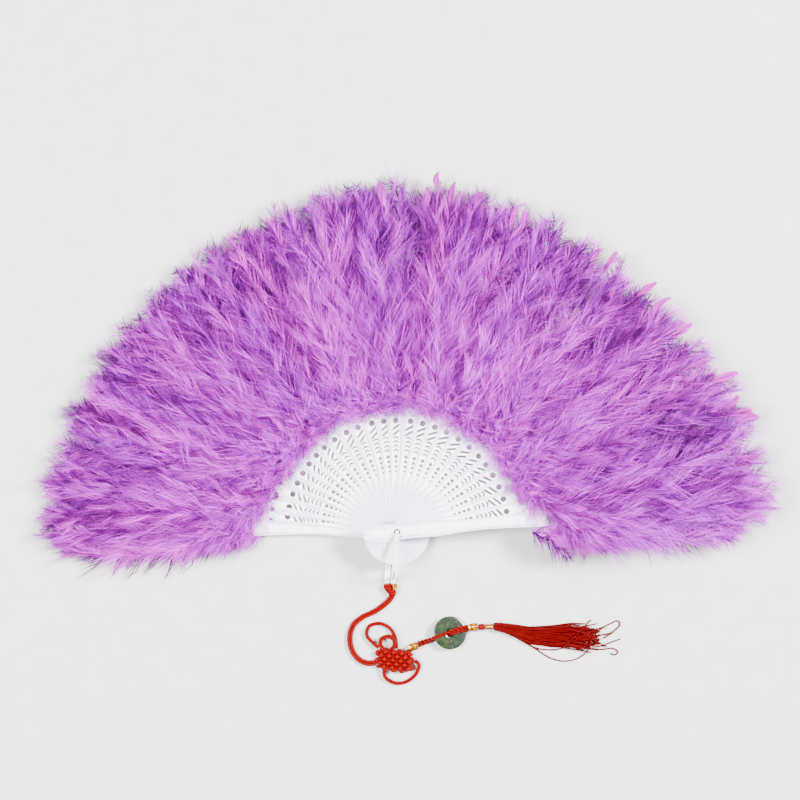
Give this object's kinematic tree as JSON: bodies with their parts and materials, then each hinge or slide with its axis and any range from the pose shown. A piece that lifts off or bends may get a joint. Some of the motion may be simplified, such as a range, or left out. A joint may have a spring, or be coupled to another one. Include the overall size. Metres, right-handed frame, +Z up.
{
  "type": "folding feather fan",
  "caption": "Folding hand fan of pierced plastic sticks between two smooth guards, with dyed feather plumes and a knotted cord carrying a stone disc and tassel.",
  "frame": {"origin": "middle of the open fan's footprint, on the surface that it lies on, with the hanging cord and tassel left out", "axes": "+X along the open fan's width, from the rear guard's side to the front guard's; +Y from the pivot towards the feathers; +Z up, from the rear guard to the front guard. The pivot's axis is vertical at x = -0.0076 m, y = -0.1154 m"},
  "size_m": [0.5252, 0.3671, 0.0396],
  "materials": {
    "pearl_plastic": "moulded, slightly translucent pearl white",
    "dyed_feather": "soft dyed down, orchid to violet",
    "ivory_plastic": "moulded, milky ivory",
    "ribbon": "thin satin ribbon",
    "white_braid": "braided cord",
    "red_satin": "satin cord",
    "gold": "bright gold plate",
    "jade": "polished, marbled grey green"
  },
  "bodies": {
    "rear_guard_set": {"rear_guard": "pearl_plastic", "rear_guard_plume": "dyed_feather", "pivot_eyelet": "ivory_plastic", "link_ribbon": "ribbon", "hanging_loop": "white_braid", "loop_tie": "red_satin", "red_cord": "red_satin", "knot_body": "red_satin", "knot_ear_large": "red_satin", "knot_ear_inner": "red_satin", "knot_ear_lower": "red_satin", "knot_bead": "gold", "disc_strand_over": "red_satin", "disc_strand_under": "red_satin", "jade_disc": "jade", "tassel_bead": "gold", "tassel_neck_knot": "red_satin", "tassel_wrap": "gold", "tassel_strands": "red_satin"},
    "front_guard_set": {"front_guard": "pearl_plastic", "front_guard_plume": "dyed_feather"},
    "stick_01_set": {"stick_01": "pearl_plastic"},
    "stick_02_set": {"stick_02": "pearl_plastic", "plume_01": "dyed_feather"},
    "stick_03_set": {"stick_03": "pearl_plastic"},
    "stick_04_set": {"stick_04": "pearl_plastic", "plume_02": "dyed_feather"},
    "stick_05_set": {"stick_05": "pearl_plastic"},
    "stick_06_set": {"stick_06": "pearl_plastic", "plume_03": "dyed_feather"},
    "stick_07_set": {"stick_07": "pearl_plastic"},
    "stick_08_set": {"stick_08": "pearl_plastic", "plume_04": "dyed_feather"},
    "stick_09_set": {"stick_09": "pearl_plastic"},
    "stick_10_set": {"stick_10": "pearl_plastic", "plume_05": "dyed_feather"},
    "stick_11_set": {"stick_11": "pearl_plastic"},
    "stick_12_set": {"stick_12": "pearl_plastic", "plume_06": "dyed_feather"},
    "stick_13_set": {"stick_13": "pearl_plastic"},
    "stick_14_set": {"stick_14": "pearl_plastic", "plume_07": "dyed_feather"},
    "stick_15_set": {"stick_15": "pearl_plastic"},
    "stick_16_set": {"stick_16": "pearl_plastic", "plume_08": "dyed_feather"},
    "stick_17_set": {"stick_17": "pearl_plastic"},
    "stick_18_set": {"stick_18": "pearl_plastic", "plume_09": "dyed_feather"},
    "stick_19_set": {"stick_19": "pearl_plastic"},
    "stick_20_set": {"stick_20": "pearl_plastic", "plume_10": "dyed_feather"},
    "stick_21_set": {"stick_21": "pearl_plastic"},
    "stick_22_set": {"stick_22": "pearl_plastic", "plume_11": "dyed_feather"},
    "stick_23_set": {"stick_23": "pearl_plastic"},
    "stick_24_set": {"stick_24": "pearl_plastic", "plume_12": "dyed_feather"},
    "stick_25_set": {"stick_25": "pearl_plastic"},
    "stick_26_set": {"stick_26": "pearl_plastic", "plume_13": "dyed_feather"}
  },
  "joints": [
    {"name": "fan_fold", "type": "hinge", "parent": "rear_guard_set", "child": "front_guard_set", "pos_m": [-0.00762, -0.1154, 0], "axis": [0, 0, 1], "range_deg": [0, 173.2], "deforming": ["rear_guard_plume", "plume_01", "plume_02", "plume_03", "plume_04", "plume_05", "plume_06", "plume_07", "plume_08", "plume_09", "plume_10", "plume_11", "plume_12", "plume_13", "front_guard_plume", "link_ribbon"]},
    {"name": "stick_01_turn", "type": "hinge", "parent": "rear_guard_set", "child": "stick_01_set", "pos_m": [-0.00762, -0.1154, 0], "axis": [0, 0, 1], "range_deg": [0, 6.11]},
    {"name": "stick_02_turn", "type": "hinge", "parent": "rear_guard_set", "child": "stick_02_set", "pos_m": [-0.00762, -0.1154, 0], "axis": [0, 0, 1], "range_deg": [0, 11.31]},
    {"name": "stick_03_turn", "type": "hinge", "parent": "rear_guard_set", "child": "stick_03_set", "pos_m": [-0.00762, -0.1154, 0], "axis": [0, 0, 1], "range_deg": [0, 18.24]},
    {"name": "stick_04_turn", "type": "hinge", "parent": "rear_guard_set", "child": "stick_04_set", "pos_m": [-0.00762, -0.1154, 0], "axis": [0, 0, 1], "range_deg": [0, 24.47]},
    {"name": "stick_05_turn", "type": "hinge", "parent": "rear_guard_set", "child": "stick_05_set", "pos_m": [-0.00762, -0.1154, 0], "axis": [0, 0, 1], "range_deg": [0, 30.19]},
    {"name": "stick_06_turn", "type": "hinge", "parent": "rear_guard_set", "child": "stick_06_set", "pos_m": [-0.00762, -0.1154, 0], "axis": [0, 0, 1], "range_deg": [0, 36.08]},
    {"name": "stick_07_turn", "type": "hinge", "parent": "rear_guard_set", "child": "stick_07_set", "pos_m": [-0.00762, -0.1154, 0], "axis": [0, 0, 1], "range_deg": [0, 41.96]},
    {"name": "stick_08_turn", "type": "hinge", "parent": "rear_guard_set", "child": "stick_08_set", "pos_m": [-0.00762, -0.1154, 0], "axis": [0, 0, 1], "range_deg": [0, 47.68]},
    {"name": "stick_09_turn", "type": "hinge", "parent": "rear_guard_set", "child": "stick_09_set", "pos_m": [-0.00762, -0.1154, 0], "axis": [0, 0, 1], "range_deg": [0, 54.44]},
    {"name": "stick_10_turn", "type": "hinge", "parent": "rear_guard_set", "child": "stick_10_set", "pos_m": [-0.00762, -0.1154, 0], "axis": [0, 0, 1], "range_deg": [0, 61.71]},
    {"name": "stick_11_turn", "type": "hinge", "parent": "rear_guard_set", "child": "stick_11_set", "pos_m": [-0.00762, -0.1154, 0], "axis": [0, 0, 1], "range_deg": [0, 68.29]},
    {"name": "stick_12_turn", "type": "hinge", "parent": "rear_guard_set", "child": "stick_12_set", "pos_m": [-0.00762, -0.1154, 0], "axis": [0, 0, 1], "range_deg": [0, 75.74]},
    {"name": "stick_13_turn", "type": "hinge", "parent": "rear_guard_set", "child": "stick_13_set", "pos_m": [-0.00762, -0.1154, 0], "axis": [0, 0, 1], "range_deg": [0, 81.97]},
    {"name": "stick_14_turn", "type": "hinge", "parent": "rear_guard_set", "child": "stick_14_set", "pos_m": [-0.00762, -0.1154, 0], "axis": [0, 0, 1], "range_deg": [0, 88.21]},
    {"name": "stick_15_turn", "type": "hinge", "parent": "rear_guard_set", "child": "stick_15_set", "pos_m": [-0.00762, -0.1154, 0], "axis": [0, 0, 1], "range_deg": [0, 95.83]},
    {"name": "stick_16_turn", "type": "hinge", "parent": "rear_guard_set", "child": "stick_16_set", "pos_m": [-0.00762, -0.1154, 0], "axis": [0, 0, 1], "range_deg": [0, 102.24]},
    {"name": "stick_17_turn", "type": "hinge", "parent": "rear_guard_set", "child": "stick_17_set", "pos_m": [-0.00762, -0.1154, 0], "axis": [0, 0, 1], "range_deg": [0, 108.82]},
    {"name": "stick_18_turn", "type": "hinge", "parent": "rear_guard_set", "child": "stick_18_set", "pos_m": [-0.00762, -0.1154, 0], "axis": [0, 0, 1], "range_deg": [0, 115.4]},
    {"name": "stick_19_turn", "type": "hinge", "parent": "rear_guard_set", "child": "stick_19_set", "pos_m": [-0.00762, -0.1154, 0], "axis": [0, 0, 1], "range_deg": [0, 122.33]},
    {"name": "stick_20_turn", "type": "hinge", "parent": "rear_guard_set", "child": "stick_20_set", "pos_m": [-0.00762, -0.1154, 0], "axis": [0, 0, 1], "range_deg": [0, 129.43]},
    {"name": "stick_21_turn", "type": "hinge", "parent": "rear_guard_set", "child": "stick_21_set", "pos_m": [-0.00762, -0.1154, 0], "axis": [0, 0, 1], "range_deg": [0, 136.01]},
    {"name": "stick_22_turn", "type": "hinge", "parent": "rear_guard_set", "child": "stick_22_set", "pos_m": [-0.00762, -0.1154, 0], "axis": [0, 0, 1], "range_deg": [0, 141.9]},
    {"name": "stick_23_turn", "type": "hinge", "parent": "rear_guard_set", "child": "stick_23_set", "pos_m": [-0.00762, -0.1154, 0], "axis": [0, 0, 1], "range_deg": [0, 148.31]},
    {"name": "stick_24_turn", "type": "hinge", "parent": "rear_guard_set", "child": "stick_24_set", "pos_m": [-0.00762, -0.1154, 0], "axis": [0, 0, 1], "range_deg": [0, 155.06]},
    {"name": "stick_25_turn", "type": "hinge", "parent": "rear_guard_set", "child": "stick_25_set", "pos_m": [-0.00762, -0.1154, 0], "axis": [0, 0, 1], "range_deg": [0, 161.65]},
    {"name": "stick_26_turn", "type": "hinge", "parent": "rear_guard_set", "child": "stick_26_set", "pos_m": [-0.00762, -0.1154, 0], "axis": [0, 0, 1], "range_deg": [0, 168.23]}
  ],
  "couplings": [
    {"joint": "stick_01_turn", "follows": "fan_fold", "ratio": 0.035},
    {"joint": "stick_02_turn", "follows": "fan_fold", "ratio": 0.065},
    {"joint": "stick_03_turn", "follows": "fan_fold", "ratio": 0.105},
    {"joint": "stick_04_turn", "follows": "fan_fold", "ratio": 0.141},
    {"joint": "stick_05_turn", "follows": "fan_fold", "ratio": 0.174},
    {"joint": "stick_06_turn", "follows": "fan_fold", "ratio": 0.208},
    {"joint": "stick_07_turn", "follows": "fan_fold", "ratio": 0.242},
    {"joint": "stick_08_turn", "follows": "fan_fold", "ratio": 0.275},
    {"joint": "stick_09_turn", "follows": "fan_fold", "ratio": 0.314},
    {"joint": "stick_10_turn", "follows": "fan_fold", "ratio": 0.356},
    {"joint": "stick_11_turn", "follows": "fan_fold", "ratio": 0.394},
    {"joint": "stick_12_turn", "follows": "fan_fold", "ratio": 0.437},
    {"joint": "stick_13_turn", "follows": "fan_fold", "ratio": 0.473},
    {"joint": "stick_14_turn", "follows": "fan_fold", "ratio": 0.509},
    {"joint": "stick_15_turn", "follows": "fan_fold", "ratio": 0.553},
    {"joint": "stick_16_turn", "follows": "fan_fold", "ratio": 0.59},
    {"joint": "stick_17_turn", "follows": "fan_fold", "ratio": 0.628},
    {"joint": "stick_18_turn", "follows": "fan_fold", "ratio": 0.666},
    {"joint": "stick_19_turn", "follows": "fan_fold", "ratio": 0.706},
    {"joint": "stick_20_turn", "follows": "fan_fold", "ratio": 0.747},
    {"joint": "stick_21_turn", "follows": "fan_fold", "ratio": 0.785},
    {"joint": "stick_22_turn", "follows": "fan_fold", "ratio": 0.819},
    {"joint": "stick_23_turn", "follows": "fan_fold", "ratio": 0.856},
    {"joint": "stick_24_turn", "follows": "fan_fold", "ratio": 0.895},
    {"joint": "stick_25_turn", "follows": "fan_fold", "ratio": 0.933},
    {"joint": "stick_26_turn", "follows": "fan_fold", "ratio": 0.971}
  ]
}
